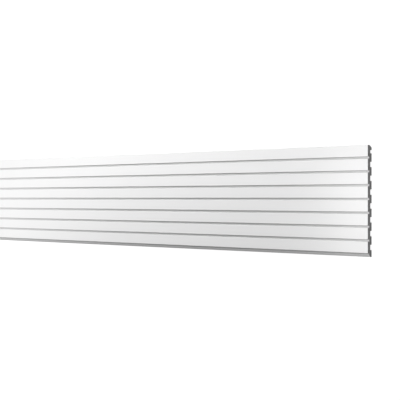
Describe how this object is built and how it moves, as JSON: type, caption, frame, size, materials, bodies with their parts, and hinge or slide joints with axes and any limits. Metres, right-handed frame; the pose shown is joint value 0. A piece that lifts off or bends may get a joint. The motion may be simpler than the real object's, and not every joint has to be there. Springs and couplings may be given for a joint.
{
  "type": "wall panel",
  "caption": "Straight length of white polymer wall panel: flat boards with narrow open slits on its face, glue pads on its back, and a bevelled lap along both long edges.",
  "frame": {"origin": "in the plane of the back pads, under the middle of the panel's box", "axes": "+X along the length, +Y up the wall when the panel is fixed with its boards level, +Z out of the face"},
  "size_m": [2.6, 0.2538, 0.01],
  "materials": {
    "primed_polymer": "matt white primer on hard extruded foam, with bare grey sawn ends"
  },
  "bodies": {
    "root": {"wall_panel": "primed_polymer"}
  },
  "joints": []
}
